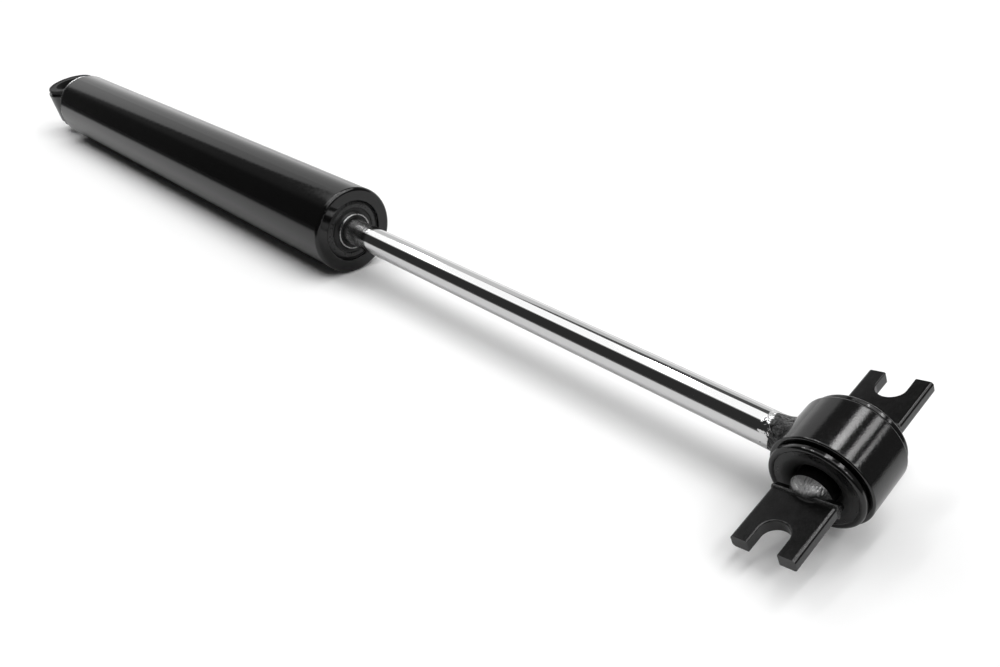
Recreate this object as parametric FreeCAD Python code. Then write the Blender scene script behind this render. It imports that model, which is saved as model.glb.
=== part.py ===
# Telescopic shock absorber, lying on its side with the rod fully drawn out.
# Millimetres. +Z is up and z = 0 is the floor under the reservoir tube.
# +X runs along the shock from the rod eye to the base eye.
# The origin is on the floor plane, straight under the middle of the shock's whole length.
# The working frame below starts at the rod eye's centre and is moved there at the end.
import FreeCAD, Part
import math
import os

os.makedirs("parts", exist_ok=True)

V = FreeCAD.Vector
AX = V(1, 0, 0)
AY = V(0, 1, 0)
AZ = V(0, 0, 1)

# Main sizes
TUBE_OD = 50.8
TUBE_WALL = 1.6
TUBE_LENGTH = 383.5
ROD_D = 15.0
EYE_TO_TUBE = 294.5
NOSE_LENGTH = 8.5

# How it lies: the roll about its own axis, the base eye's lean from upright
# and the twist of the fork in its rubber
LIE_ROLL = 15.2
BASE_LEAN = 12.0
FORK_TWIST = 14.0

# Reservoir tube and its rolled-over rod end
TUBE_R = TUBE_OD / 2
TUBE_BORE_R = TUBE_R - TUBE_WALL
LIP_BEND_R = 2.0
LIP_EDGE_R = 17.8
TUBE_START = EYE_TO_TUBE
TUBE_END = EYE_TO_TUBE + TUBE_LENGTH

# Fits
TUBE_FIT = 0.05
PRESSURE_FIT = 0.03
ROD_RUNNING = 0.04
BAND_RUNNING = 0.05
SEAL_TOUCH = 0.02
BOLT_FIT = 0.04
SHIM_FIT = 0.08
BUMPER_FIT = 0.1
BAND_SEAT_FIT = 0.05
SEAL_FIT = 0.1

# Rod
ROD_R = ROD_D / 2
SPIGOT_R = 5.0
SPIGOT_SPACE = 10.2
THREAD_PROUD = 1.5

# Pressure tube
PRESSURE_BORE_R = 17.5
PRESSURE_WALL = 1.4
PRESSURE_R = PRESSURE_BORE_R + PRESSURE_WALL

# Guide end: depths from the tube's rod-end face, widths out from the rod or in from the lip
COVER_DEPTH = 4.6
COVER_LAND_SET = 0.7
COVER_STEP = 0.2
COVER_SLOPE = 2.2
SEAL_EDGE = 1.0
SEAL_BACK = 9.4
SEAL_WIDTH = 5.6
WIPER_SET = 2.2
WIPER_T = 0.7
WIPER_PROUD = 1.1
WIPER_GROOVE = 2.6
SEAL_LIP_SET = 0.2
GUIDE_FLOOR = 2.6
GUIDE_SPIGOT = 11.0
GUIDE_BUSH_WALL = 1.5
GUIDE_BUSH_SET = 0.6
ORING_WIRE_R = 1.1
ORING_BACK = 3.2
DRAIN_R = 0.9
DRAIN_SET = 1.3

# Rebound stop
BUMPER_GAP = 0.4
BUMPER_LENGTH = 11.9
BUMPER_R = 13.0
STOP_LENGTH = 4.5
STOP_R = 13.5

# Piston
PISTON_GAP = 0.4
PISTON_LENGTH = 14.0
PISTON_WASHER_T = 1.2
PISTON_WASHER_R = 9.0
INTAKE_DISC_T = 0.8
INTAKE_DISC_R = 15.0
BAND_LENGTH = 8.0
BAND_DEPTH = 1.2
BAND_SPLIT = 0.8
RECOIL_DISC_T = 0.5
RECOIL_DISC_1_R = 13.5
RECOIL_DISC_2_R = 11.0
RECOIL_WASHER_T = 2.0
RECOIL_WASHER_R = 8.6
NUT_FLATS = 17.0
NUT_HEIGHT = 8.0
PISTON_PORT_R = 1.5
PISTON_PORT_PITCH_R = 12.6
PISTON_BLEED_R = 1.1
PISTON_BLEED_PITCH_R = 8.6

# Foot valve, measured from the tube's base end
FOOT_SEAT = 9.0
FOOT_LEG = 7.0
FOOT_LEG_WALL = 3.5
FOOT_BODY = 12.0
FOOT_FLANGE_T = 2.0
FOOT_BORE_R = 3.0
FOOT_PORT_R = 1.9
FOOT_PORT_PITCH_R = 12.0
FOOT_BLEED_R = 1.0
FOOT_BLEED_PITCH_R = 5.4
FOOT_SLOT_WIDTH = 8.0
FOOT_WINDOW_WIDTH = 3.0
FOOT_DISC_T = 0.5
FOOT_DISC_1_R = 8.5
FOOT_DISC_2_R = 6.5
FOOT_HEAD_R = 5.5
FOOT_HEAD_T = 2.6
FOOT_INTAKE_T = 0.8
FOOT_INTAKE_R = 14.5
FOOT_INTAKE_IN_R = 9.5
FOOT_SPRING_H = 2.4
FOOT_SPRING_T = 0.4
FOOT_COLLAR_T = 3.0
FOOT_COLLAR_R = 5.6

# Base cap
CAP_SKIRT = 14.0
CAP_SEAT_GAP = 1.85
CAP_NOSE_R = 10.5
CAP_NOSE_WALL = 3.2
CAP_NOSE_IN_R = 6.0
CAP_BULGE = 0.1355
CAP_BULGE_IN = -0.185

# Base eye
BASE_RING_R = 20.0
BASE_RING_WALL = 3.0
BASE_RING_HALF = 12.0
BASE_BUSH_LIP = 1.6
BASE_BUSH_PROUD = 3.8
BASE_FUNNEL_WIDTH = 6.4
BASE_HOLE_R = 7.25

# Rod eye
ROD_RING_R = 20.0
ROD_RING_WALL = 3.0
ROD_RING_HALF = 12.0
ROD_BUSH_LIP = 1.5
ROD_BUSH_PROUD = 3.8
FUNNEL_WIDTH = 5.6
FUNNEL_DEPTH = 3.6
WELD_NECK_LENGTH = 3.6
WELD_NECK_R = 9.4
WELD_NECK_BULGE = -0.06

# Bar pin: round core with a slotted plate welded to each end
CORE_R = 8.0
CORE_PROUD = 2.7
PLATE_WIDTH = 25.0
PLATE_T = 5.0
PLATE_LENGTH = 30.2
PLATE_EDGE_FLAT = 1.2
PLATE_EDGE_R = 0.5
SLOT_WIDTH = 11.5
SLOT_DEPTH = 13.0
WELD_REACH = 4.6
WELD_WIDTH = 2.4
WELD_CROWN = 0.7
ROOT_BEVEL = 1.6

# Radii and half lengths that follow from the sizes above
SEAL_R = ROD_R + SEAL_WIDTH
COVER_OPENING_R = SEAL_R + SEAL_FIT
COVER_LAND_R = LIP_EDGE_R - COVER_SLOPE
WIPER_IN_R = ROD_R + WIPER_SET
WIPER_OUT_R = WIPER_IN_R + WIPER_T
GUIDE_BUSH_R = ROD_R + GUIDE_BUSH_WALL
DRAIN_PITCH_R = PRESSURE_R + DRAIN_SET
PISTON_R = PRESSURE_BORE_R - PISTON_GAP
BAND_SEAT_R = PISTON_R - BAND_DEPTH
CAP_R = TUBE_BORE_R - TUBE_FIT
CAP_IN_R = PRESSURE_R + CAP_SEAT_GAP
BASE_RING_BORE_R = BASE_RING_R - BASE_RING_WALL
BASE_BUSH_R = BASE_RING_BORE_R + BASE_BUSH_LIP
BASE_BUSH_HALF = BASE_RING_HALF + BASE_BUSH_PROUD
ROD_RING_BORE_R = ROD_RING_R - ROD_RING_WALL
ROD_BUSH_R = ROD_RING_BORE_R + ROD_BUSH_LIP
ROD_BUSH_HALF = ROD_RING_HALF + ROD_BUSH_PROUD
CORE_HALF = ROD_BUSH_HALF + CORE_PROUD
PLATE_TIP = CORE_HALF + PLATE_LENGTH
SLOT_BOTTOM = PLATE_TIP - SLOT_DEPTH

# The base eye's centre, from the rod eye's centre along the shock
EYE_TO_EYE = TUBE_END + NOSE_LENGTH + BASE_RING_R

# Where the working frame's origin goes: the middle of the whole length, tube on the floor
MIDDLE_X = (EYE_TO_EYE + BASE_RING_R - ROD_RING_R) / 2
AXIS_Z = TUBE_R


def outline(points):
    """Closed wire from (u, r) corners, or (u, r, mid_u, mid_r) for an arc to that corner."""
    edges = []
    count = len(points)
    for i in range(count):
        a = points[i]
        b = points[(i + 1) % count]
        start = V(a[0], 0, a[1])
        end = V(b[0], 0, b[1])
        if len(b) == 4:
            middle = V(b[2], 0, b[3])
            edges.append(Part.Arc(start, middle, end).toShape())
        else:
            edges.append(Part.LineSegment(start, end).toShape())
    return Part.Wire(edges)


def bulged(a, b, share):
    """Corner b, reached from a by an arc that stands off the chord by a share of its length."""
    du = b[0] - a[0]
    dr = b[1] - a[1]
    return (b[0], b[1], (a[0] + b[0]) / 2 - dr * share, (a[1] + b[1]) / 2 + du * share)


def turn_x(points):
    """Solid turned about the shock's own axis, from (x, radius) corners."""
    face = Part.Face(outline(points))
    return face.revolve(V(0, 0, 0), AX, 360)


def to_y(shape):
    """Swing a solid turned about x so that it is turned about y."""
    out = shape.copy()
    out.rotate(V(0, 0, 0), AZ, 90)
    return out


def to_z(shape):
    """Swing a solid turned about x so that it is turned about z."""
    out = shape.copy()
    out.rotate(V(0, 0, 0), AY, -90)
    return out


def tube_x(outer, inner, start, end):
    body = Part.makeCylinder(outer, end - start, V(start, 0, 0), AX)
    if inner > 0:
        body = body.cut(Part.makeCylinder(inner, end - start + 2, V(start - 1, 0, 0), AX))
    return body


def mirrored(points):
    """Symmetric turned profile from its half: the corners from the middle plane out and back."""
    back = []
    count = len(points)
    for i in range(count - 1, 0, -1):
        p = points[i]
        q = points[i - 1]
        if len(p) == 4:
            back.append((-q[0], q[1], -p[2], p[3]))
        else:
            back.append((-q[0], q[1]))
    first = points[-1]
    return list(points) + [(-first[0], first[1])] + back[:-1]


def lay(shape):
    """Put a solid from the shock's own frame into the pose it lies in."""
    out = shape.copy()
    out.rotate(V(0, 0, 0), AX, -LIE_ROLL)
    out.translate(V(-MIDDLE_X, 0, AXIS_Z))
    return out


def save(shape, name):
    solid = lay(shape)
    if len(solid.Solids) == 1:
        solid = solid.Solids[0]
    solid.exportStep("parts/" + name + ".step")


# Reservoir tube with the rolled-over lip
lip_in = TUBE_START + TUBE_WALL
bend = LIP_BEND_R
bend_in = LIP_BEND_R - TUBE_WALL
diag = math.sqrt(0.5)
reservoir_tube = turn_x([
    (TUBE_END - 0.3, TUBE_R),
    (TUBE_START + bend, TUBE_R),
    (TUBE_START, TUBE_R - bend, TUBE_START + bend * (1 - diag), TUBE_R - bend * (1 - diag)),
    (TUBE_START, LIP_EDGE_R + 0.5),
    (TUBE_START + 0.5, LIP_EDGE_R, TUBE_START + 0.15, LIP_EDGE_R + 0.15),
    (lip_in, LIP_EDGE_R),
    (lip_in, TUBE_BORE_R - bend_in),
    (lip_in + bend_in, TUBE_BORE_R, lip_in + bend_in * (1 - diag), TUBE_BORE_R - bend_in * (1 - diag)),
    (TUBE_END, TUBE_BORE_R),
    (TUBE_END, TUBE_R - 0.3),
])
save(reservoir_tube, "reservoir_tube")

# Seal cover under the lip, sloping in to a land round its opening
cover_back = TUBE_START + COVER_DEPTH
land = TUBE_START + COVER_LAND_SET
cover_r = TUBE_BORE_R - TUBE_FIT
seal_cover = turn_x([
    (lip_in + bend_in, cover_r),
    (lip_in, cover_r - bend_in),
    (lip_in, LIP_EDGE_R + 0.2),
    (lip_in + COVER_STEP, LIP_EDGE_R - 0.1),
    (land, COVER_LAND_R, land + 0.35, COVER_LAND_R + 0.9),
    (land, COVER_OPENING_R + 0.7),
    (land + 0.7, COVER_OPENING_R, land + 0.2, COVER_OPENING_R + 0.2),
    (cover_back, COVER_OPENING_R),
    (cover_back, cover_r),
])
save(seal_cover, "seal_cover")

# Rod seal: a rubber ring with a dust lip in a raised nose and an oil lip at its back
seal_edge = TUBE_START + SEAL_EDGE
seal_back = TUBE_START + SEAL_BACK
wiper_top = TUBE_START - WIPER_PROUD
wiper_floor = wiper_top + WIPER_GROOVE
touch_r = ROD_R + SEAL_TOUCH
lip_tip = TUBE_START + SEAL_LIP_SET
rod_seal = turn_x([
    (seal_edge, SEAL_R),
    (wiper_top + 0.8, WIPER_OUT_R + 0.1, seal_edge - 0.35, WIPER_OUT_R + 1.0),
    (wiper_top + 0.8, WIPER_OUT_R),
    (wiper_floor, WIPER_OUT_R),
    (wiper_floor, WIPER_IN_R),
    (wiper_top + 0.4, WIPER_IN_R),
    (wiper_top + 0.5, WIPER_IN_R - 0.3),
    (lip_tip, ROD_R + 0.3),
    (lip_tip + 0.3, touch_r),
    (lip_tip + 1.1, touch_r),
    (wiper_floor + 0.9, ROD_R + 0.9),
    (seal_back - 2.0, ROD_R + 0.7),
    (seal_back - 1.0, touch_r),
    (seal_back - 0.4, touch_r),
    (seal_back, ROD_R + 0.5),
    (seal_back, ROD_R + 1.2),
    (seal_back - 1.5, ROD_R + 1.2, seal_back - 0.75, ROD_R + 0.9),
    (seal_back - 1.5, ROD_R + 3.2),
    (seal_back, ROD_R + 3.2),
    (seal_back, SEAL_R),
])
save(rod_seal, "rod_seal")

# Bright wiper ring held in a groove of the seal's nose
wiper_mid_r = (WIPER_IN_R + WIPER_OUT_R) / 2
wiper_ring = turn_x([
    (wiper_floor, WIPER_IN_R),
    (wiper_top + 0.3, WIPER_IN_R),
    (wiper_top + 0.3, WIPER_OUT_R, wiper_top, wiper_mid_r),
    (wiper_floor, WIPER_OUT_R),
])
save(wiper_ring, "wiper_ring")

garter_r = 0.62
garter_ring_r = ROD_R + 1.98
garter_spring = Part.makeTorus(garter_ring_r, garter_r, V(seal_back - 0.75, 0, 0), AX)
save(garter_spring, "garter_spring")

# Rod guide: head fits the reservoir tube, spigot fits the pressure tube
guide_step = seal_back + GUIDE_FLOOR
guide_end = guide_step + GUIDE_SPIGOT
oring_x = cover_back + ORING_BACK
oring_groove = 2 * ORING_WIRE_R + 0.3
rod_guide = turn_x([
    (cover_back, cover_r),
    (cover_back, SEAL_R),
    (seal_back, SEAL_R),
    (seal_back, GUIDE_BUSH_R),
    (guide_end, GUIDE_BUSH_R),
    (guide_end, PRESSURE_BORE_R - PRESSURE_FIT - 0.8),
    (guide_end - 0.8, PRESSURE_BORE_R - PRESSURE_FIT),
    (guide_step, PRESSURE_BORE_R - PRESSURE_FIT),
    (guide_step, cover_r),
])
rod_guide = rod_guide.cut(tube_x(cover_r + 1, TUBE_BORE_R - 2 * ORING_WIRE_R,
                                 oring_x - oring_groove / 2, oring_x + oring_groove / 2))
# Oil return holes: out from behind the seal, then back into the space round the pressure tube
drain_x = seal_back + DRAIN_SET
for k in range(4):
    radial = Part.makeCylinder(DRAIN_R, DRAIN_PITCH_R - ROD_R, V(drain_x, 0, ROD_R), AZ)
    axial = Part.makeCylinder(DRAIN_R, guide_step - drain_x + 1, V(drain_x, 0, DRAIN_PITCH_R), AX)
    drain = radial.fuse(axial)
    drain.rotate(V(0, 0, 0), AX, 45 + 90 * k)
    rod_guide = rod_guide.cut(drain)
save(rod_guide, "rod_guide")

guide_bush_start = drain_x + DRAIN_R + GUIDE_BUSH_SET
rod_guide_bush = tube_x(GUIDE_BUSH_R, ROD_R + ROD_RUNNING, guide_bush_start, guide_end - 0.4)
save(rod_guide_bush, "rod_guide_bush")

guide_oring = Part.makeTorus(TUBE_BORE_R - ORING_WIRE_R, ORING_WIRE_R, V(oring_x, 0, 0), AX)
save(guide_oring, "guide_oring")

# Foot valve stations
foot_seat = TUBE_END - FOOT_SEAT
foot_flange = foot_seat - FOOT_LEG
foot_top = foot_flange - FOOT_BODY

# Pressure tube between the guide and the foot valve
pressure_tube = tube_x(PRESSURE_R, PRESSURE_BORE_R, guide_step, foot_flange)
save(pressure_tube, "pressure_tube")

# Foot valve body with intake ports, bleed ports and castellated legs
foot_body_r = PRESSURE_BORE_R - PRESSURE_FIT
foot_under = foot_flange + FOOT_FLANGE_T
foot_leg_in_r = PRESSURE_R - FOOT_LEG_WALL
foot_valve_body = turn_x([
    (foot_top, FOOT_BORE_R),
    (foot_top, foot_body_r - 0.8),
    (foot_top + 0.8, foot_body_r),
    (foot_flange, foot_body_r),
    (foot_flange, PRESSURE_R),
    (foot_seat, PRESSURE_R),
    (foot_seat, foot_leg_in_r),
    (foot_under, foot_leg_in_r),
    (foot_under, FOOT_BORE_R),
])
foot_through = FOOT_BODY + FOOT_LEG + 2
for k in range(6):
    port = Part.makeCylinder(FOOT_PORT_R, foot_through, V(foot_top - 1, FOOT_PORT_PITCH_R, 0), AX)
    port.rotate(V(0, 0, 0), AX, 60 * k)
    foot_valve_body = foot_valve_body.cut(port)
for k in range(4):
    port = Part.makeCylinder(FOOT_BLEED_R, foot_through, V(foot_top - 1, FOOT_BLEED_PITCH_R, 0), AX)
    port.rotate(V(0, 0, 0), AX, 45 + 90 * k)
    foot_valve_body = foot_valve_body.cut(port)
for k in range(3):
    slot = Part.makeBox(foot_seat - foot_under, 4 * PRESSURE_R, FOOT_SLOT_WIDTH,
                        V(foot_under + 0.8, -2 * PRESSURE_R, -FOOT_SLOT_WIDTH / 2))
    slot.rotate(V(0, 0, 0), AX, 60 * k)
    foot_valve_body = foot_valve_body.cut(slot)
save(foot_valve_body, "foot_valve_body")

shank_r = FOOT_BORE_R - BOLT_FIT
disc_end = foot_under + 2 * FOOT_DISC_T
collar_start = foot_top - FOOT_INTAKE_T - FOOT_SPRING_H - FOOT_COLLAR_T
foot_valve_disc_1 = tube_x(FOOT_DISC_1_R, FOOT_BORE_R + SHIM_FIT, foot_under, foot_under + FOOT_DISC_T)
save(foot_valve_disc_1, "foot_valve_disc_1")
foot_valve_disc_2 = tube_x(FOOT_DISC_2_R, FOOT_BORE_R + SHIM_FIT, foot_under + FOOT_DISC_T, disc_end)
save(foot_valve_disc_2, "foot_valve_disc_2")

foot_valve_bolt = turn_x([
    (collar_start - 1.2, 0),
    (collar_start - 1.2, shank_r - 0.6),
    (collar_start - 0.6, shank_r),
    (disc_end, shank_r),
    (disc_end, FOOT_HEAD_R),
    (disc_end + FOOT_HEAD_T - 0.5, FOOT_HEAD_R),
    (disc_end + FOOT_HEAD_T, FOOT_HEAD_R - 0.5),
    (disc_end + FOOT_HEAD_T, 0),
])
save(foot_valve_bolt, "foot_valve_bolt")

# Pressed collar on the bolt, with a hub that holds the body down
foot_valve_collar = turn_x([
    (collar_start, shank_r),
    (collar_start, FOOT_COLLAR_R - 0.4),
    (collar_start + 0.4, FOOT_COLLAR_R),
    (collar_start + FOOT_COLLAR_T, FOOT_COLLAR_R),
    (collar_start + FOOT_COLLAR_T, FOOT_BORE_R + 1.0),
    (foot_top, FOOT_BORE_R + 1.0),
    (foot_top, shank_r),
])
save(foot_valve_collar, "foot_valve_collar")

foot_valve_intake_disc = tube_x(FOOT_INTAKE_R, FOOT_INTAKE_IN_R, foot_top - FOOT_INTAKE_T, foot_top)
save(foot_valve_intake_disc, "foot_valve_intake_disc")

# Conical star spring from the collar down to the intake disc
cone_small = collar_start + FOOT_COLLAR_T
cone_big = foot_top - FOOT_INTAKE_T
cone_r = (FOOT_INTAKE_R + FOOT_INTAKE_IN_R) / 2
foot_valve_spring = turn_x([
    (cone_small, FOOT_BORE_R + 1.1),
    (cone_small, FOOT_BORE_R + 2.4),
    (cone_big - FOOT_SPRING_T, cone_r + 0.5),
    (cone_big, cone_r + 0.5),
    (cone_big, cone_r - 0.5),
    (cone_small + FOOT_SPRING_T, FOOT_BORE_R + 2.2),
    (cone_small + FOOT_SPRING_T, FOOT_BORE_R + 1.1),
])
for k in range(6):
    window = Part.makeBox(cone_big - cone_small + 2, FOOT_INTAKE_R, FOOT_WINDOW_WIDTH,
                          V(cone_small - 1, FOOT_COLLAR_R + 0.4, -FOOT_WINDOW_WIDTH / 2))
    window.rotate(V(0, 0, 0), AX, 60 * k)
    foot_valve_spring = foot_valve_spring.cut(window)
save(foot_valve_spring, "foot_valve_spring")

# Base cap: skirt inside the tube, seat for the foot valve, domed nose under the base eye
nose_x = TUBE_END + NOSE_LENGTH
dome_edge = (TUBE_END + 0.6, CAP_R - 2.2)
dome_in = (nose_x - CAP_NOSE_WALL, CAP_NOSE_IN_R)
base_cap = turn_x([
    (TUBE_END - CAP_SKIRT, CAP_R),
    (TUBE_END - 1.0, CAP_R),
    dome_edge,
    bulged(dome_edge, (nose_x, CAP_NOSE_R), CAP_BULGE),
    (nose_x, 0),
    (nose_x - CAP_NOSE_WALL, 0),
    dome_in,
    bulged(dome_in, (foot_seat, foot_leg_in_r + 0.2), CAP_BULGE_IN),
    (foot_seat, CAP_IN_R),
    (TUBE_END - CAP_SKIRT, CAP_IN_R),
])
save(base_cap, "base_cap")

# Weld bead that closes the joint between the tube's rim and the cap
base_cap_weld = turn_x([
    (TUBE_END - 0.6, TUBE_R - 0.2),
    (TUBE_END + 1.5, TUBE_BORE_R - 1.2, TUBE_END + 1.2, TUBE_R - 0.7),
    (TUBE_END + 0.2, CAP_R - 3.4),
    (TUBE_END - 1.2, CAP_R - 3.4),
    (TUBE_END - 1.2, TUBE_R - 0.9),
])
base_cap_weld = base_cap_weld.cut(base_cap).cut(reservoir_tube)
save(base_cap_weld, "base_cap_weld")



def lean(shape):
    """Stand a piece turned about z at the base eye's centre, at the base eye's own lean."""
    out = shape.copy()
    out.rotate(V(0, 0, 0), AX, LIE_ROLL - BASE_LEAN)
    out.translate(V(EYE_TO_EYE, 0, 0))
    return out


def bush_profile(bore_r, funnel_width, half, flange_r, ring_half, ring_bore_r):
    """Rubber bush: flanges with a rolled rim, falling in a soft funnel to the bore."""
    floor = half - FUNNEL_DEPTH
    face = half - 0.6
    return mirrored([
        (0, bore_r),
        (floor - 0.5, bore_r),
        (floor, bore_r + 0.5, floor - 0.15, bore_r + 0.15),
        (face, bore_r + funnel_width, floor + 0.7 * (face - floor), bore_r + 0.35 * funnel_width),
        (face, flange_r - 2.4),
        (half - 1.2, flange_r, half, flange_r - 1.2),
        (ring_half + 1.4, flange_r - 0.1),
        (ring_half + 0.3, ring_bore_r - 0.3, ring_half + 0.6, flange_r - 0.9),
        (ring_half - 0.7, ring_bore_r),
    ])


# Base eye ring, its bore across the shock
edge = 0.8
base_half = mirrored([
    (0, BASE_RING_BORE_R),
    (BASE_RING_HALF - 0.5, BASE_RING_BORE_R),
    (BASE_RING_HALF, BASE_RING_BORE_R + 0.5, BASE_RING_HALF - 0.15, BASE_RING_BORE_R + 0.15),
    (BASE_RING_HALF, BASE_RING_R - edge),
    (BASE_RING_HALF - edge, BASE_RING_R, BASE_RING_HALF - 0.23, BASE_RING_R - 0.23),
])
base_ring = lean(to_z(turn_x(base_half)))
save(base_ring, "base_eye_ring")

# Fillet weld between the cap's nose and the base eye ring
base_disc = lean(Part.makeCylinder(BASE_RING_R, 4 * BASE_RING_HALF, V(0, 0, -2 * BASE_RING_HALF), AZ))
base_eye_weld = turn_x([
    (nose_x - 4.0, 0),
    (nose_x - 4.0, CAP_NOSE_R + 2.0),
    (nose_x + 4.2, CAP_NOSE_R - 0.9, nose_x + 0.2, CAP_NOSE_R + 0.4),
    (nose_x + 4.2, 0),
])
base_eye_weld = base_eye_weld.cut(base_disc).cut(base_cap)
weld_clear = Part.makeCylinder(CAP_NOSE_R + 3, NOSE_LENGTH - 2.2, V(TUBE_END, 0, 0), AX)
base_eye_weld = base_eye_weld.cut(weld_clear)
save(base_eye_weld, "base_eye_weld")

# Base eye bush: the rod eye's kind of rubber, with a plain hole in place of the core
base_bush = lean(to_z(turn_x(bush_profile(BASE_HOLE_R, BASE_FUNNEL_WIDTH, BASE_BUSH_HALF, BASE_BUSH_R,
                                          BASE_RING_HALF, BASE_RING_BORE_R))))
save(base_bush, "base_eye_bush")

# Stations along the rod, from the guide inwards
bumper_start = guide_end + BUMPER_GAP
bumper_end = bumper_start + BUMPER_LENGTH
stop_end = bumper_end + STOP_LENGTH
spigot_start = stop_end + SPIGOT_SPACE
washer_end = spigot_start + PISTON_WASHER_T
piston_start = washer_end + INTAKE_DISC_T
piston_end = piston_start + PISTON_LENGTH
disc_1_end = piston_end + RECOIL_DISC_T
disc_2_end = disc_1_end + RECOIL_DISC_T
nut_start = disc_2_end + RECOIL_WASHER_T
nut_end = nut_start + NUT_HEIGHT
spigot_end = nut_end + THREAD_PROUD

# Piston rod, coped to the rod eye ring, with a threaded spigot for the piston
rod_start = ROD_RING_R / 2
piston_rod = turn_x([
    (rod_start, 0),
    (rod_start, ROD_R),
    (spigot_start - 0.8, ROD_R),
    (spigot_start, ROD_R - 0.8),
    (spigot_start, SPIGOT_R),
    (spigot_end - 0.8, SPIGOT_R),
    (spigot_end, SPIGOT_R - 0.8),
    (spigot_end, 0),
])
rod_disc = Part.makeCylinder(ROD_RING_R, 4 * ROD_RING_HALF, V(0, -2 * ROD_RING_HALF, 0), AY)
piston_rod = piston_rod.cut(rod_disc)
save(piston_rod, "piston_rod")

# Rebound bumper and the collar behind it
rebound_bumper = turn_x([
    (bumper_start, ROD_R + BUMPER_FIT),
    (bumper_start, BUMPER_R - 1.6),
    (bumper_start + 1.6, BUMPER_R),
    (bumper_end - 4.6, BUMPER_R),
    (bumper_end - 4.0, BUMPER_R - 1.2),
    (bumper_end - 2.8, BUMPER_R - 1.2),
    (bumper_end - 2.2, BUMPER_R),
    (bumper_end, BUMPER_R),
    (bumper_end, ROD_R + BUMPER_FIT),
])
save(rebound_bumper, "rebound_bumper")

rebound_stop = turn_x([
    (bumper_end, ROD_R),
    (bumper_end, STOP_R - 0.5),
    (bumper_end + 0.5, STOP_R),
    (stop_end - 1.5, STOP_R),
    (stop_end, STOP_R - 3.0),
    (stop_end, ROD_R),
])
save(rebound_stop, "rebound_stop")

# Piston stack on the spigot
spigot_fit = SPIGOT_R + BOLT_FIT
piston_washer = tube_x(PISTON_WASHER_R, spigot_fit, spigot_start, washer_end)
save(piston_washer, "piston_washer")

piston_intake_disc = tube_x(INTAKE_DISC_R, spigot_fit, washer_end, piston_start)
save(piston_intake_disc, "piston_intake_disc")

band_start = piston_start + (PISTON_LENGTH - BAND_LENGTH) / 2
band_end = band_start + BAND_LENGTH
piston = turn_x([
    (piston_start, spigot_fit),
    (piston_start, PISTON_R - 0.8),
    (piston_start + 0.8, PISTON_R),
    (band_start, PISTON_R),
    (band_start, BAND_SEAT_R),
    (band_end, BAND_SEAT_R),
    (band_end, PISTON_R),
    (piston_end - 0.8, PISTON_R),
    (piston_end, PISTON_R - 0.8),
    (piston_end, spigot_fit),
])
piston_through = PISTON_LENGTH + 2
for k in range(6):
    port = Part.makeCylinder(PISTON_PORT_R, piston_through, V(piston_start - 1, PISTON_PORT_PITCH_R, 0), AX)
    port.rotate(V(0, 0, 0), AX, 60 * k)
    piston = piston.cut(port)
for k in range(6):
    bleed_at = V(piston_start - 1, PISTON_BLEED_PITCH_R, 0)
    port = Part.makeCylinder(PISTON_BLEED_R, piston_through, bleed_at, AX)
    port.rotate(V(0, 0, 0), AX, 30 + 60 * k)
    piston = piston.cut(port)
save(piston, "piston")

# Split slide band, free to turn in the piston's groove
band_r = PRESSURE_BORE_R - BAND_RUNNING
piston_band = tube_x(band_r, BAND_SEAT_R + BAND_SEAT_FIT, band_start + 0.1, band_end - 0.1)
split = Part.makeBox(BAND_LENGTH, BAND_SPLIT, band_r, V(band_start, -BAND_SPLIT / 2, BAND_SEAT_R / 2))
piston_band = piston_band.cut(split)
save(piston_band, "piston_band")

recoil_disc_1 = tube_x(RECOIL_DISC_1_R, spigot_fit, piston_end, disc_1_end)
save(recoil_disc_1, "recoil_disc_1")
recoil_disc_2 = tube_x(RECOIL_DISC_2_R, spigot_fit, disc_1_end, disc_2_end)
save(recoil_disc_2, "recoil_disc_2")
recoil_washer = tube_x(RECOIL_WASHER_R, spigot_fit, disc_2_end, nut_start)
save(recoil_washer, "recoil_washer")

corner = NUT_FLATS / math.sqrt(3)
hexagon = []
for k in range(7):
    a = math.radians(60 * k)
    hexagon.append(V(nut_start, corner * math.cos(a), corner * math.sin(a)))
piston_nut = Part.Face(Part.makePolygon(hexagon)).extrude(V(NUT_HEIGHT, 0, 0))
piston_nut = piston_nut.cut(Part.makeCylinder(SPIGOT_R, NUT_HEIGHT + 2, V(nut_start - 1, 0, 0), AX))
nut_shape = turn_x([
    (nut_start, 0),
    (nut_start, corner),
    (nut_end - 1.2, corner),
    (nut_end, corner - 1.8),
    (nut_end, 0),
])
piston_nut = piston_nut.common(nut_shape)
save(piston_nut, "piston_nut")

# Rod eye ring, its bore across the shock
rod_half = mirrored([
    (0, ROD_RING_BORE_R),
    (ROD_RING_HALF - 0.5, ROD_RING_BORE_R),
    (ROD_RING_HALF, ROD_RING_BORE_R + 0.5, ROD_RING_HALF - 0.15, ROD_RING_BORE_R + 0.15),
    (ROD_RING_HALF, ROD_RING_R - edge),
    (ROD_RING_HALF - edge, ROD_RING_R, ROD_RING_HALF - 0.23, ROD_RING_R - 0.23),
])
rod_ring = to_y(turn_x(rod_half))
save(rod_ring, "rod_eye_ring")

# Weld neck between the rod and the ring
neck_foot = (ROD_RING_R - 2.6, WELD_NECK_R)
rod_eye_weld = turn_x([
    (rod_start + 2, ROD_R),
    (rod_start + 2, WELD_NECK_R),
    neck_foot,
    bulged(neck_foot, (ROD_RING_R + WELD_NECK_LENGTH, ROD_R), WELD_NECK_BULGE),
])
rod_eye_weld = rod_eye_weld.cut(rod_disc)
save(rod_eye_weld, "rod_eye_weld")

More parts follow.
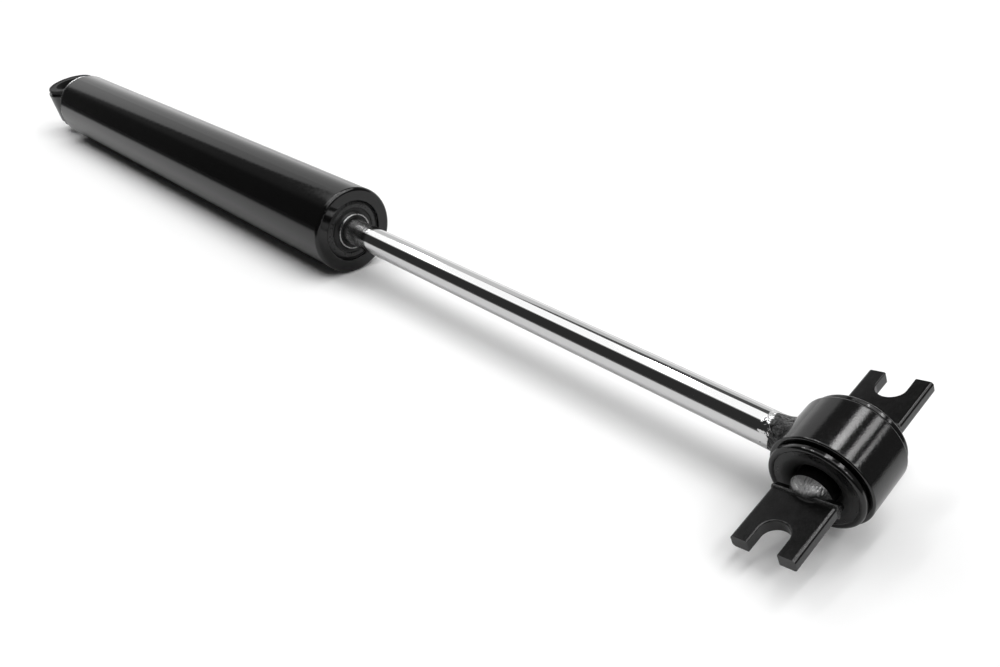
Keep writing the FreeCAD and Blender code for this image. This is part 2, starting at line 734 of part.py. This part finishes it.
# Rod eye bush: rubber bonded to the ring and the core
rod_bush = to_y(turn_x(bush_profile(CORE_R, FUNNEL_WIDTH, ROD_BUSH_HALF, ROD_BUSH_R,
                                    ROD_RING_HALF, ROD_RING_BORE_R)))
save(rod_bush, "rod_eye_bush")


def twist(shape):
    """Turn a piece of the bar pin about the rod eye's axis."""
    out = shape.copy()
    out.rotate(V(0, 0, 0), AY, FORK_TWIST)
    return out


# Bar pin core
core = to_y(turn_x([
    (-CORE_HALF, 0),
    (-CORE_HALF, CORE_R - 0.6),
    (-CORE_HALF + 0.6, CORE_R),
    (CORE_HALF - 0.6, CORE_R),
    (CORE_HALF, CORE_R - 0.6),
    (CORE_HALF, 0),
]))
save(twist(core), "bar_pin_core")

# Slotted plate, drawn on the +y end, with rolled long edges and a cut tip
plate = Part.makeBox(PLATE_WIDTH, PLATE_TIP - CORE_HALF, PLATE_T,
                     V(-PLATE_WIDTH / 2, CORE_HALF, -PLATE_T / 2))
long_edges = []
for e in plate.Edges:
    a = e.Vertexes[0].Point
    b = e.Vertexes[1].Point
    if abs(a.x - b.x) < 0.01 and abs(a.z - b.z) < 0.01:
        long_edges.append(e)
plate = plate.makeFillet(PLATE_T / 2 - PLATE_EDGE_FLAT, long_edges)
slot_r = SLOT_WIDTH / 2
slot = Part.makeCylinder(slot_r, 2 * PLATE_T, V(0, SLOT_BOTTOM + slot_r, -PLATE_T), AZ)
slot_mouth = Part.makeBox(SLOT_WIDTH, SLOT_DEPTH, 2 * PLATE_T, V(-slot_r, SLOT_BOTTOM + slot_r, -PLATE_T))
slot = slot.fuse(slot_mouth)
plate = plate.cut(slot)

# The slot's and the tips' edges are eased
slot_edges = []
for e in plate.Edges:
    box = e.BoundBox
    level = box.ZLength < 0.01 and abs(abs(box.ZMin) - PLATE_T / 2) < 0.01
    in_slot = max(abs(box.XMin), abs(box.XMax)) < slot_r + 0.01 and box.YMin > SLOT_BOTTOM - 0.01
    if level and in_slot:
        slot_edges.append(e)
plate = plate.makeFillet(PLATE_EDGE_R, slot_edges)

# Both faces are bevelled at the root for the weld
bevel_end = CORE_HALF + WELD_REACH + 0.2
face_z = PLATE_T / 2
for side in (face_z, -face_z):
    inner = side * (face_z - ROOT_BEVEL) / face_z
    bevel = Part.Face(Part.makePolygon([
        V(-PLATE_WIDTH, CORE_HALF, inner),
        V(-PLATE_WIDTH, bevel_end, side),
        V(-PLATE_WIDTH, bevel_end, 2 * side),
        V(-PLATE_WIDTH, CORE_HALF, 2 * side),
        V(-PLATE_WIDTH, CORE_HALF, inner),
    ]))
    plate = plate.cut(bevel.extrude(V(2 * PLATE_WIDTH, 0, 0)))

# Weld between the core's end and the plate: a half cone on each face and a ridge along the root
cone = turn_x([
    (CORE_HALF - 0.6, 0),
    (CORE_HALF - 0.6, CORE_R),
    (CORE_HALF + 0.4, CORE_R - 0.4),
    (CORE_HALF + WELD_REACH, PLATE_T / 2 + 0.4, CORE_HALF + 3.0, CORE_R - 2.2),
    (CORE_HALF + WELD_REACH, 0),
])
cone = to_y(cone)
ridge_half = PLATE_WIDTH / 2 + 0.2
ridge_r = WELD_WIDTH / 2
ridge_end = 0.4 * ridge_r
ridge = turn_x([
    (-ridge_half, 0),
    (-ridge_half, ridge_r - ridge_end),
    (-ridge_half + ridge_end, ridge_r, -ridge_half + 0.3 * ridge_end, ridge_r - 0.3 * ridge_end),
    (ridge_half - ridge_end, ridge_r),
    (ridge_half, ridge_r - ridge_end, ridge_half - 0.3 * ridge_end, ridge_r - 0.3 * ridge_end),
    (ridge_half, 0),
])
flatten = FreeCAD.Matrix()
flatten.scale(1.0, 1.0, (PLATE_T / 2 + WELD_CROWN) / ridge_r)
ridge = ridge.transformGeometry(flatten)
ridge.translate(V(0, CORE_HALF + WELD_REACH - ridge_r, 0))
weld = cone.fuse(ridge)
weld = weld.cut(plate).cut(core)

save(twist(plate), "fork_plate_a")
save(twist(weld), "fork_weld_a")
save(twist(plate.mirror(V(0, 0, 0), AY)), "fork_plate_b")
save(twist(weld.mirror(V(0, 0, 0), AY)), "fork_weld_b")
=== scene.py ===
import math

import bpy
from mathutils import Matrix, Vector

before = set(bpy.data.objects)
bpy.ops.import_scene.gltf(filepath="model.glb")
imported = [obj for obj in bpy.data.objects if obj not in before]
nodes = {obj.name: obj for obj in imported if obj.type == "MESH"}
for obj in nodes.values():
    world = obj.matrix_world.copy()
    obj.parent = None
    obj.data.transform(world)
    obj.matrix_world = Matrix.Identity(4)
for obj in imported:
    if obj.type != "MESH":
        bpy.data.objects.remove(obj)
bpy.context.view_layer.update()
scene = bpy.context.scene
scene.view_settings.view_transform = "Standard"

# Camera
CAMERA_PITCH = math.radians(30.026)
CAMERA_YAW = math.radians(-44.24)
CAMERA_ROLL = math.radians(0.13)
CAMERA_PLACE = (-0.43883, 0.25242, 0.21577)
CAMERA_LENS = 30.10
SENSOR_WIDTH = 36

# Light levels
PANEL_LEVEL = 1.15
BAR_LEVEL = 9.0
SIDE_LEVEL = 3.8
SIDE_NEAR_LEVEL = SIDE_LEVEL + 1.0
WALL_LEVEL = 0.42
BACK_HIGH_LEVEL = 0.56
ROOM_LEVEL = 0.09
ROOM_NEAR_LEVEL = 0.03

# Edges of the lights, each from its faded to its full side, on a plane overhead at height 1
PANEL_ROD_END = (-2.1, -1.9)
PANEL_BASE_END = (1.38, 1.22)
PANEL_FAR = (-0.37, -0.33)
PANEL_NEAR = (0.62, 0.45)
BAR_PITCH = 0.265
BAR_EDGE = (0.045, 0.015)
BAR_ROD_END = (-1.32, -1.22)
BAR_BASE_END = (1.30, 1.20)
BAR_NEAR = (0.45, 0.30)
SIDE_EDGE = (0.16, 0.08)
SIDE_BASE_END = (0.30, 0.20)
SIDE_FAR_FADE = (-0.95, -0.75)
SIDE_NEAR_FADE = (-0.48, -0.38)
BACK_EDGE = (0.0, 0.12)
WALL_ROD_END = (0.91, 0.99)
WALL_NEAR = (-0.35, -0.38)
ROOM_FADE = (0.8, 0.4)

# Floor: half its side, the tone of the light it throws back and how much lighter it is by the rod's end
FLOOR_HALF = 30.0
FLOOR_TONE = 0.06
FLOOR_NEAR_ADDED = 0.57
FLOOR_SHINE = 1.1
FLOOR_NEAR_Y = (0.28, 0.10)
FLOOR_NEAR_X = (-0.8, -0.42)

# Places and directions on the shock absorber, in metres
AXIS_Z = 0.0254
ROD_EYE = (-0.35325, 0.0, AXIS_Z)
BASE_EYE = (0.35325, 0.0, AXIS_Z)
NECK_END_X = -0.32965
TUBE_FACE_X = -0.05875
TUBE_END_X = 0.32475
LIE_ROLL = math.radians(15.2)
BASE_LEAN = math.radians(12)
ROD_EYE_AXIS = Vector((0, math.cos(LIE_ROLL), -math.sin(LIE_ROLL)))
ROD_EYE_UP = Vector((0, math.sin(LIE_ROLL), math.cos(LIE_ROLL)))
BASE_EYE_AXIS = Vector((0, math.sin(BASE_LEAN), math.cos(BASE_LEAN)))
PLATE_UP = Vector((0.242, 0.254, 0.936))
ALONG = (1.0, 0.0, 0.0)


def place_camera():
    forward = Vector((
        math.cos(CAMERA_PITCH) * math.cos(CAMERA_YAW),
        math.cos(CAMERA_PITCH) * math.sin(CAMERA_YAW),
        -math.sin(CAMERA_PITCH),
    ))
    level = forward.cross(Vector((0, 0, 1))).normalized()
    under = forward.cross(level)
    right = math.cos(CAMERA_ROLL) * level + math.sin(CAMERA_ROLL) * under
    down = math.cos(CAMERA_ROLL) * under - math.sin(CAMERA_ROLL) * level
    rows = [(right[i], -down[i], -forward[i], CAMERA_PLACE[i]) for i in range(3)]
    data = bpy.data.cameras.new("camera")
    data.sensor_fit = "HORIZONTAL"
    data.sensor_width = SENSOR_WIDTH
    data.lens = CAMERA_LENS
    camera = bpy.data.objects.new("camera", data)
    camera.matrix_world = Matrix(rows + [(0, 0, 0, 1)])
    scene.collection.objects.link(camera)
    scene.camera = camera


# Small helpers for node trees
class Tree:
    def __init__(self, tree):
        self.tree = tree
        tree.nodes.clear()

    def node(self, kind, **settings):
        made = self.tree.nodes.new(kind)
        for key, value in settings.items():
            setattr(made, key, value)
        return made

    def link(self, out, socket):
        self.tree.links.new(out, socket)

    def put(self, socket, value):
        if isinstance(value, bpy.types.NodeSocket):
            self.link(value, socket)
        else:
            socket.default_value = value

    def math(self, operation, a, b=0.0, c=None):
        made = self.node("ShaderNodeMath", operation=operation)
        self.put(made.inputs[0], a)
        self.put(made.inputs[1], b)
        if c is not None:
            self.put(made.inputs[2], c)
        return made.outputs[0]

    def product(self, first, *others):
        for other in others:
            first = self.math("MULTIPLY", first, other)
        return first

    def ramp(self, value, low, high, to_low=0.0, to_high=1.0):
        made = self.node("ShaderNodeMapRange", interpolation_type="SMOOTHSTEP")
        self.put(made.inputs["Value"], value)
        made.inputs["From Min"].default_value = low
        made.inputs["From Max"].default_value = high
        made.inputs["To Min"].default_value = to_low
        made.inputs["To Max"].default_value = to_high
        return made.outputs["Result"]

    def blend(self, kind, factor, a, b):
        made = self.node("ShaderNodeMix", data_type=kind)
        self.put(made.inputs["Factor"], factor)
        self.put(made.inputs["A"], a)
        self.put(made.inputs["B"], b)
        return made.outputs["Result"]

    def mix(self, factor, a, b):
        return self.blend("RGBA", factor, a, b)

    def mix_value(self, factor, a, b):
        return self.blend("FLOAT", factor, a, b)

    def noise(self, vector, scale, detail=2.0, rough=0.5, distortion=0.0):
        made = self.node("ShaderNodeTexNoise")
        self.link(vector, made.inputs["Vector"])
        made.inputs["Scale"].default_value = scale
        made.inputs["Detail"].default_value = detail
        made.inputs["Roughness"].default_value = rough
        made.inputs["Distortion"].default_value = distortion
        return made.outputs["Fac"]

    # Noise spread between two values
    def spread(self, vector, scale, detail, low, high):
        return self.ramp(self.noise(vector, scale, detail), 0.3, 0.7, low, high)

    def stretched(self, vector, scale):
        made = self.node("ShaderNodeMapping")
        self.link(vector, made.inputs["Vector"])
        made.inputs["Scale"].default_value = scale
        return made.outputs["Vector"]

    def dot(self, vector, way):
        made = self.node("ShaderNodeVectorMath", operation="DOT_PRODUCT")
        self.link(vector, made.inputs[0])
        made.inputs[1].default_value = way
        return made.outputs["Value"]

    def from_point(self, vector, point):
        made = self.node("ShaderNodeVectorMath", operation="SUBTRACT")
        self.link(vector, made.inputs[0])
        made.inputs[1].default_value = point
        return made.outputs["Vector"]

    def triple(self, *values):
        made = self.node("ShaderNodeCombineXYZ")
        for socket, value in zip(made.inputs, values):
            self.put(socket, value)
        return made.outputs[0]

    # Distance from an axis through a point
    def reach(self, vector, point, way):
        away = self.from_point(vector, point)
        span = self.node("ShaderNodeVectorMath", operation="LENGTH")
        self.link(away, span.inputs[0])
        square = self.math("POWER", span.outputs["Value"], 2.0)
        square = self.math("SUBTRACT", square, self.math("POWER", self.dot(away, way), 2.0))
        return self.math("POWER", self.math("MAXIMUM", square, 0.0), 0.5)

    def bump(self, height, distance, strength=1.0, normal=None):
        made = self.node("ShaderNodeBump")
        made.inputs["Strength"].default_value = strength
        made.inputs["Distance"].default_value = distance
        self.link(height, made.inputs["Height"])
        if normal is not None:
            self.link(normal, made.inputs["Normal"])
        return made.outputs["Normal"]


def grey(value):
    return (value, value, value, 1.0)


def new_material(name, metallic=0.0, ior=1.5):
    made = bpy.data.materials.new(name)
    made.use_nodes = True
    t = Tree(made.node_tree)
    out = t.node("ShaderNodeOutputMaterial")
    shader = t.node("ShaderNodeBsdfPrincipled")
    t.link(shader.outputs[0], out.inputs["Surface"])
    shader.inputs["Metallic"].default_value = metallic
    shader.inputs["IOR"].default_value = ior
    place = t.node("ShaderNodeTexCoord").outputs["Object"]
    return made, t, shader, place


# Studio: a bright ceiling panel, a white backdrop behind and a dark room in front
def make_world():
    world = bpy.data.worlds.new("studio")
    world.use_nodes = True
    scene.world = world
    t = Tree(world.node_tree)
    ray = t.node("ShaderNodeLightPath")
    way = t.node("ShaderNodeSeparateXYZ")
    t.link(t.node("ShaderNodeTexCoord").outputs["Generated"], way.inputs[0])
    x, y, z = way.outputs
    height = t.math("MAXIMUM", z, 0.01)
    gx = t.math("DIVIDE", x, height)
    gy = t.math("DIVIDE", y, height)

    # Ceiling panel with lamp bars across it
    panel = t.product(
        t.ramp(gx, *PANEL_ROD_END), t.ramp(gx, *PANEL_BASE_END),
        t.ramp(gy, *PANEL_FAR), t.ramp(gy, *PANEL_NEAR, 0.0, PANEL_LEVEL),
    )
    step = t.math("PINGPONG", gx, BAR_PITCH)
    bar = t.product(
        t.ramp(step, *BAR_EDGE), t.ramp(gy, *PANEL_FAR),
        t.ramp(gx, *BAR_BASE_END), t.ramp(gy, *BAR_NEAR, 0.0, BAR_LEVEL),
    )

    # The bars seen from the side, past the panel's far edge
    fade = t.math(
        "ADD",
        t.ramp(gy, *SIDE_FAR_FADE, 0.0, SIDE_LEVEL),
        t.ramp(gy, *SIDE_NEAR_FADE, 0.0, SIDE_NEAR_LEVEL),
    )
    side = t.product(
        t.ramp(step, *SIDE_EDGE), t.ramp(gx, *SIDE_BASE_END),
        t.ramp(gy, *reversed(PANEL_FAR)), fade,
    )
    bar = t.product(t.math("ADD", bar, side), t.ramp(gx, *BAR_ROD_END))

    # Backdrop behind the object, bounded by two slanting lines, and a greyer wall above it
    edge_a = t.math("SUBTRACT", t.math("MULTIPLY_ADD", gx, 1.26, -1.9), gy)
    edge_b = t.math("SUBTRACT", t.math("MULTIPLY_ADD", gx, 0.357, -0.54), gy)
    back = t.product(
        t.ramp(edge_a, *BACK_EDGE), t.ramp(edge_b, *BACK_EDGE),
        t.ramp(z, 0.35, 0.05, BACK_HIGH_LEVEL, 1.0),
    )
    wall = t.product(t.ramp(gx, *WALL_ROD_END), t.ramp(gy, *WALL_NEAR), WALL_LEVEL)
    back = t.math("MAXIMUM", back, wall)

    level = t.math("ADD", t.math("ADD", panel, bar), back)
    level = t.math("ADD", level, t.ramp(gy, *ROOM_FADE, ROOM_NEAR_LEVEL, ROOM_LEVEL))
    level = t.mix_value(ray.outputs["Is Camera Ray"], level, 1.0)
    shine = t.node("ShaderNodeBackground")
    shine.inputs["Color"].default_value = grey(1.0)
    t.link(level, shine.inputs["Strength"])
    out = t.node("ShaderNodeOutputWorld")
    t.link(shine.outputs[0], out.inputs["Surface"])


def make_floor():
    corners = [(x * FLOOR_HALF, y * FLOOR_HALF, 0) for x, y in ((-1, -1), (1, -1), (1, 1), (-1, 1))]
    mesh = bpy.data.meshes.new("floor")
    mesh.from_pydata(corners, [], [(0, 1, 2, 3)])
    floor = bpy.data.objects.new("floor", mesh)
    scene.collection.objects.link(floor)
    made = bpy.data.materials.new("floor")
    made.use_nodes = True
    t = Tree(made.node_tree)
    out = t.node("ShaderNodeOutputMaterial")
    ray = t.node("ShaderNodeLightPath")
    shiny = t.math("MAXIMUM", ray.outputs["Is Glossy Ray"], ray.outputs["Is Transmission Ray"])
    place = t.node("ShaderNodeSeparateXYZ")
    t.link(t.node("ShaderNodeTexCoord").outputs["Object"], place.inputs[0])
    near = t.product(t.ramp(place.outputs[1], *FLOOR_NEAR_Y), t.ramp(place.outputs[0], *FLOOR_NEAR_X))
    tone = t.math("MULTIPLY_ADD", near, FLOOR_NEAR_ADDED, FLOOR_TONE)
    tone = t.product(tone, t.mix_value(shiny, 1.0, FLOOR_SHINE))
    tone = t.math("MAXIMUM", tone, ray.outputs["Is Camera Ray"])
    white = t.node("ShaderNodeCombineColor")
    for socket in white.inputs:
        t.link(tone, socket)
    paper = t.node("ShaderNodeBsdfDiffuse")
    t.link(white.outputs[0], paper.inputs["Color"])
    t.link(paper.outputs[0], out.inputs["Surface"])
    floor.data.materials.append(made)


# A material of noise alone: colour as scale, detail and two tones, roughness as scale, detail and two
# values, and each layer of grain as its noise, depth and strength
def grained(name, colour, rough, *grain, metallic=0.0, ior=1.5):
    made, t, shader, place = new_material(name, metallic, ior)
    scale, detail, dark, light = colour
    t.link(t.mix(t.noise(place, scale, detail), dark, light), shader.inputs["Base Color"])
    t.link(t.spread(place, *rough), shader.inputs["Roughness"])
    normal = None
    for noise, depth, strength in grain:
        normal = t.bump(t.noise(place, *noise), depth, strength, normal)
    t.link(normal, shader.inputs["Normal"])
    return made


# Gloss paint, for the tube with a ridge where it ends and a painted highlight of metallic grey along it
def gloss_paint(ridge):
    made, t, shader, place = new_material("tube_paint" if ridge else "gloss_paint", ior=1.52)
    colour = t.mix(t.noise(place, 9.0, 3.0), grey(0.003), grey(0.005))
    rough = t.spread(place, 700.0, 3.0, 0.06, 0.11)
    skin = t.bump(t.noise(place, 260.0, 2.0), 0.0002, 0.10)
    if ridge:
        along = t.dot(place, ALONG)
        # Painted highlight: metallic grey over the tube's last 1.6 mm or so, for the bright line along the
        # far rim
        rim_highlight = t.math("ADD", along, t.spread(place, 90.0, 3.0, -0.0004, 0.0004))
        rim_highlight = t.ramp(rim_highlight, TUBE_END_X - 0.0020, TUBE_END_X - 0.0016)
        t.link(rim_highlight, shader.inputs["Metallic"])
        colour = t.mix(rim_highlight, colour, grey(0.55))
        rough = t.mix_value(rim_highlight, rough, 0.25)
        skin = t.bump(t.ramp(along, TUBE_END_X - 0.0022, TUBE_END_X), 0.0010, 1.0, skin)
    t.link(colour, shader.inputs["Base Color"])
    t.link(rough, shader.inputs["Roughness"])
    t.link(skin, shader.inputs["Normal"])
    return made


# Chrome: ringed with fine ripples near the seal, and with the eye's paint run over its end in an
# uneven edge
def chrome():
    made, t, shader, place = new_material("chrome")
    rings = t.noise(t.stretched(place, (9000.0, 60.0, 60.0)), 1.0, 3.0, 0.6)
    along = t.dot(place, ALONG)
    edge = t.math("ADD", along, t.spread(place, 170.0, 3.0, -0.0016, 0.0016))
    run = t.ramp(edge, NECK_END_X + 0.0008, NECK_END_X + 0.0002)
    speck = t.ramp(t.noise(place, 330.0, 1.0), 0.735, 0.75)
    speck = t.product(speck, t.ramp(along, NECK_END_X + 0.013, NECK_END_X + 0.008))
    paint = t.math("MAXIMUM", run, speck)
    lumps = t.ramp(edge, NECK_END_X + 0.0045, NECK_END_X + 0.0015)
    lumps = t.product(lumps, t.noise(place, 500.0, 2.0, 0.5, 0.5))
    near_seal = t.ramp(along, TUBE_FACE_X - 0.022, TUBE_FACE_X - 0.010)
    colour = t.mix(paint, t.mix(rings, grey(0.74), grey(0.79)), grey(0.006))
    rough = t.mix_value(paint, t.ramp(rings, 0.3, 0.7, 0.04, 0.08), 0.12)
    t.link(t.math("SUBTRACT", 1.0, paint), shader.inputs["Metallic"])
    t.link(colour, shader.inputs["Base Color"])
    t.link(t.mix_value(near_seal, rough, 0.24), shader.inputs["Roughness"])
    fine = t.bump(t.product(rings, t.mix_value(near_seal, 0.015, 1.0)), 0.00007)
    fine = t.bump(lumps, 0.0012, 0.8, fine)
    t.link(t.bump(paint, 0.0002, 0.8, fine), shader.inputs["Normal"])
    return made


# Rod eye's bush: the same coat of paint on the flange as on the eye, duller rubber round the core
def bush_coat():
    made, t, shader, place = new_material("bush_coat", ior=1.55)
    reach = t.reach(place, ROD_EYE, ROD_EYE_AXIS)
    inner = t.ramp(reach, 0.0145, 0.0128)
    rim = t.ramp(reach, 0.0158, 0.0168)
    t.link(t.mix(t.noise(place, 150.0, 4.0), grey(0.003), grey(0.006)), shader.inputs["Base Color"])
    coat = t.mix_value(rim, t.spread(place, 500.0, 4.0, 0.26, 0.36), 0.07)
    t.link(t.mix_value(inner, coat, 0.6), shader.inputs["Roughness"])
    grain = t.bump(t.noise(place, 1200.0, 4.0), 0.0002, 0.15)
    t.link(t.bump(t.noise(place, 160.0, 2.0), 0.0005, 0.2, grain), shader.inputs["Normal"])
    return made


# Base eye's bush: greyed rubber, with painted shade making it black inside the hole and its funnel
def dull_rubber():
    made, t, shader, place = new_material("dull_rubber", ior=1.45)
    shader.inputs["Specular IOR Level"].default_value = 0.2
    # Painted shade: near-black colour in the hole and its funnel, where shade falls
    hole_shade = t.ramp(t.reach(place, BASE_EYE, BASE_EYE_AXIS), 0.0128, 0.0116)
    face = t.mix(t.noise(place, 150.0, 4.0), grey(0.026), grey(0.042))
    t.link(t.mix(hole_shade, face, grey(0.001)), shader.inputs["Base Color"])
    t.link(t.mix_value(hole_shade, t.spread(place, 600.0, 4.0, 0.5, 0.65), 0.9), shader.inputs["Roughness"])
    t.link(t.bump(t.noise(place, 1500.0, 4.0), 0.0003, 0.3), shader.inputs["Normal"])
    return made


# Painted weld: crowned away from the plate, streaks running in and ripples at one end, with a painted
# highlight on them
def weld_bead():
    made, t, shader, place = new_material("weld_bead", ior=1.6)
    away = t.from_point(place, ROD_EYE)
    across = t.dot(away, ALONG)
    rise = t.dot(away, ROD_EYE_UP)
    high = t.math("MAXIMUM", t.math("SUBTRACT", t.dot(away, PLATE_UP), 0.0025), 0.0)
    crown = t.product(t.math("POWER", high, 2.0), -150.0)
    turn = t.math("ARCTAN2", rise, across)
    span = t.math("ADD", t.math("POWER", across, 2.0), t.math("POWER", rise, 2.0))
    span = t.math("POWER", span, 0.5)
    streak = t.triple(t.product(turn, 10.0), t.product(span, 160.0), 0.0)
    streak = t.noise(streak, 2.0, 4.0, 0.7)
    ripple = t.product(t.math("ADD", across, t.product(rise, -0.3)), 4600.0)
    ripple = t.product(
        t.math("SINE", ripple), t.ramp(across, -0.0030, -0.0045), t.ramp(high, 0.0006, 0.0012),
    )
    # Painted highlight: metallic light grey high on the crown, on the streaks and on the ripple crests,
    # for reflections on gloss paint
    painted_weld_sheen = t.product(t.ramp(high, 0.0008, 0.0028), t.ramp(streak, 0.35, 0.65, 0.10, 0.75))
    painted_weld_sheen = t.math("MAXIMUM", painted_weld_sheen, t.ramp(ripple, 0.4, 1.0, 0.0, 0.7))
    t.link(painted_weld_sheen, shader.inputs["Metallic"])
    t.link(t.mix(painted_weld_sheen, grey(0.004), grey(0.75)), shader.inputs["Base Color"])
    t.link(t.spread(place, 700.0, 4.0, 0.12, 0.24), shader.inputs["Roughness"])
    shape = t.bump(crown, 1.0)
    shape = t.bump(streak, 0.0006, 0.8, shape)
    shape = t.bump(ripple, 0.00035, 0.9, shape)
    t.link(t.bump(t.noise(place, 900.0, 4.0, 0.6), 0.0003, 0.4, shape), shader.inputs["Normal"])
    return made


def dress(material, *names):
    for name in names:
        slots = nodes[name].data.materials
        for at in range(len(slots)):
            slots[at] = material
        if not slots:
            slots.append(material)


place_camera()
make_world()
make_floor()

# Tube and caps
dress(gloss_paint(True), "reservoir_tube")
dress(gloss_paint(False), "base_cap", "base_cap_weld")
dress(
    grained("cover_steel", (200.0, 4.0, grey(0.012), grey(0.024)), (800.0, 4.0, 0.25, 0.38),
            ((1200.0, 4.0, 0.6), 0.0002, 0.25)),
    "seal_cover",
)

# Rod
dress(chrome(), "piston_rod")

# Eyes
dress(
    grained("eye_paint", (60.0, 3.0, grey(0.003), grey(0.006)), (900.0, 3.0, 0.07, 0.13),
            ((1400.0, 3.0, 0.6), 0.0002, 0.16), ((240.0, 3.0), 0.0003, 0.12), ior=1.62),
    "base_eye_ring", "base_eye_weld", "rod_eye_ring",
)
dress(
    grained("neck_paint", (200.0, 3.0, grey(0.003), grey(0.010)), (700.0, 3.0, 0.06, 0.14),
            ((500.0, 3.0, 0.5, 0.5), 0.0030, 1.0), ((1500.0, 3.0), 0.0003, 0.3), ior=1.56),
    "rod_eye_weld",
)
dress(bush_coat(), "rod_eye_bush")
dress(dull_rubber(), "base_eye_bush")

# Bar pin
dress(
    grained("plate_paint", (90.0, 4.0, grey(0.002), grey(0.005)), (500.0, 4.0, 0.07, 0.13),
            ((1600.0, 4.0, 0.6), 0.0002, 0.15), ((120.0, 2.0), 0.0004, 0.15), ior=1.54),
    "fork_plate_a", "fork_plate_b", "bar_pin_core",
)
dress(weld_bead(), "fork_weld_a", "fork_weld_b")

# Inner parts
dress(
    grained("rubber", (150.0, 4.0, grey(0.004), grey(0.008)), (600.0, 4.0, 0.3, 0.45),
            ((1500.0, 4.0), 0.0003, 0.2), ior=1.45),
    "rod_seal", "guide_oring", "rebound_bumper",
)
dress(
    grained("bright_steel", (300.0, 4.0, grey(0.45), grey(0.6)), (900.0, 4.0, 0.22, 0.34),
            ((1500.0, 3.0), 0.0001, 0.2), metallic=1.0),
    "wiper_ring", "garter_spring", "pressure_tube", "foot_valve_disc_1", "foot_valve_disc_2",
    "foot_valve_bolt", "foot_valve_collar", "foot_valve_intake_disc", "foot_valve_spring", "rebound_stop",
    "piston_washer", "piston_intake_disc", "recoil_disc_1", "recoil_disc_2", "recoil_washer", "piston_nut",
)
dress(
    grained("bronze", (200.0, 4.0, (0.42, 0.24, 0.1, 1), (0.55, 0.33, 0.15, 1)), (900.0, 4.0, 0.25, 0.4),
            ((1500.0, 3.0), 0.0001, 0.2), metallic=1.0),
    "rod_guide_bush",
)
dress(
    grained("sintered", (1500.0, 4.0, grey(0.12), grey(0.24)), (2000.0, 4.0, 0.45, 0.6),
            ((2500.0, 4.0), 0.0002, 0.4), metallic=1.0),
    "rod_guide", "foot_valve_body", "piston",
)
dress(
    grained("band_plastic", (400.0, 4.0, (0.05, 0.07, 0.05, 1), (0.09, 0.11, 0.08, 1)),
            (900.0, 4.0, 0.35, 0.5), ((1500.0, 3.0), 0.0001, 0.3)),
    "piston_band",
)
